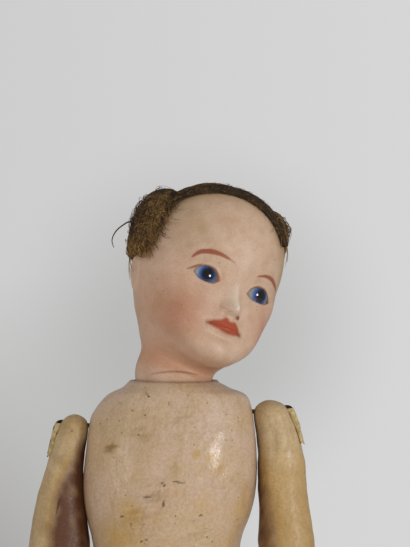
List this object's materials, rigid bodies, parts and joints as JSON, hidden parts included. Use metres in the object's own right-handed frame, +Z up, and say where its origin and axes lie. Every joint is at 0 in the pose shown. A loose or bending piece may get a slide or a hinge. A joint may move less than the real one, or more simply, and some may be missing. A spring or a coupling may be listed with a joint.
{
  "type": "bisque head doll",
  "caption": "Strung play doll with a bisque socket head, set glass eyes, wig remains and a varnished papier-mache body with swinging arms and legs.",
  "frame": {"origin": "on the ground under the middle of the doll's outline box, at the height of the flat soles", "axes": "+Z up, the body faces -Y, +X is the doll's own left"},
  "size_m": [0.1032, 0.0644, 0.2759],
  "materials": {
    "bisque": "matt fired bisque with painted features",
    "eye_glass": "polished",
    "plaster": "matt",
    "cork_pate": "matt",
    "wig_cloth": "matt",
    "hair": "matted fibres",
    "turned_wood": "plain",
    "iron_wire": "blackened",
    "kid_leather": "matt",
    "body_papier_mache": "painted and varnished, yellowed",
    "limb_papier_mache": "painted and varnished, yellowed",
    "pasted_paper": "matt",
    "elastic_cord": "woven cover"
  },
  "bodies": {
    "torso": {"torso_front": "body_papier_mache", "torso_back": "body_papier_mache", "right_leg_cord": "elastic_cord", "left_leg_cord": "elastic_cord", "arm_cord": "elastic_cord"},
    "neck_washer_ring": {"neck_washer": "kid_leather"},
    "neck_stringing": {"neck_button": "turned_wood", "neck_hook": "iron_wire"},
    "head": {"head_shell": "bisque", "right_eye": "eye_glass", "left_eye": "eye_glass", "eye_plaster": "plaster", "crown_pate": "cork_pate", "wig_cap": "wig_cloth", "wig_band": "hair", "right_hair_tuft": "hair", "left_hair_tuft": "hair"},
    "arm_right": {"right_arm": "limb_papier_mache", "right_arm_wire": "iron_wire", "right_paper_strip": "pasted_paper"},
    "arm_left": {"left_arm": "limb_papier_mache", "left_arm_wire": "iron_wire", "left_paper_strip": "pasted_paper"},
    "leg_right": {"right_leg": "limb_papier_mache", "right_leg_hook": "iron_wire"},
    "leg_left": {"left_leg": "limb_papier_mache", "left_leg_hook": "iron_wire"}
  },
  "joints": [
    {"name": "head_nod", "type": "hinge", "parent": "torso", "child": "neck_washer_ring", "pos_m": [0.00111, -0.00659, 0.2058], "axis": [1, 0, 0], "range_deg": [-6, 14]},
    {"name": "head_tilt", "type": "hinge", "parent": "neck_washer_ring", "child": "neck_stringing", "pos_m": [0.00111, -0.00659, 0.2058], "axis": [0, 0.9925, -0.1219], "range_deg": [-38, 2]},
    {"name": "head_turn", "type": "hinge", "parent": "neck_stringing", "child": "head", "pos_m": [0.00111, -0.00659, 0.2058], "axis": [0.3256, 0.1152, 0.9385], "range_deg": [-105, 46]},
    {"name": "right_shoulder", "type": "hinge", "parent": "torso", "child": "arm_right", "pos_m": [-0.02945, -0.00659, 0.1873], "axis": [-0.9925, 0, 0.1219], "range_deg": [-60, 110], "deforming": ["arm_cord"]},
    {"name": "left_shoulder", "type": "hinge", "parent": "torso", "child": "arm_left", "pos_m": [0.02945, -0.00659, 0.1923], "axis": [-0.9925, 0, -0.1219], "range_deg": [-60, 110]},
    {"name": "right_hip", "type": "hinge", "parent": "torso", "child": "leg_right", "pos_m": [-0.01629, -0.00659, 0.11], "axis": [-0.866, 0, -0.5], "range_deg": [-25, 90], "deforming": ["right_leg_cord"]},
    {"name": "left_hip", "type": "hinge", "parent": "torso", "child": "leg_left", "pos_m": [0.01571, -0.00659, 0.11], "axis": [-0.866, 0, 0.5], "range_deg": [-25, 90], "deforming": ["left_leg_cord"]}
  ]
}
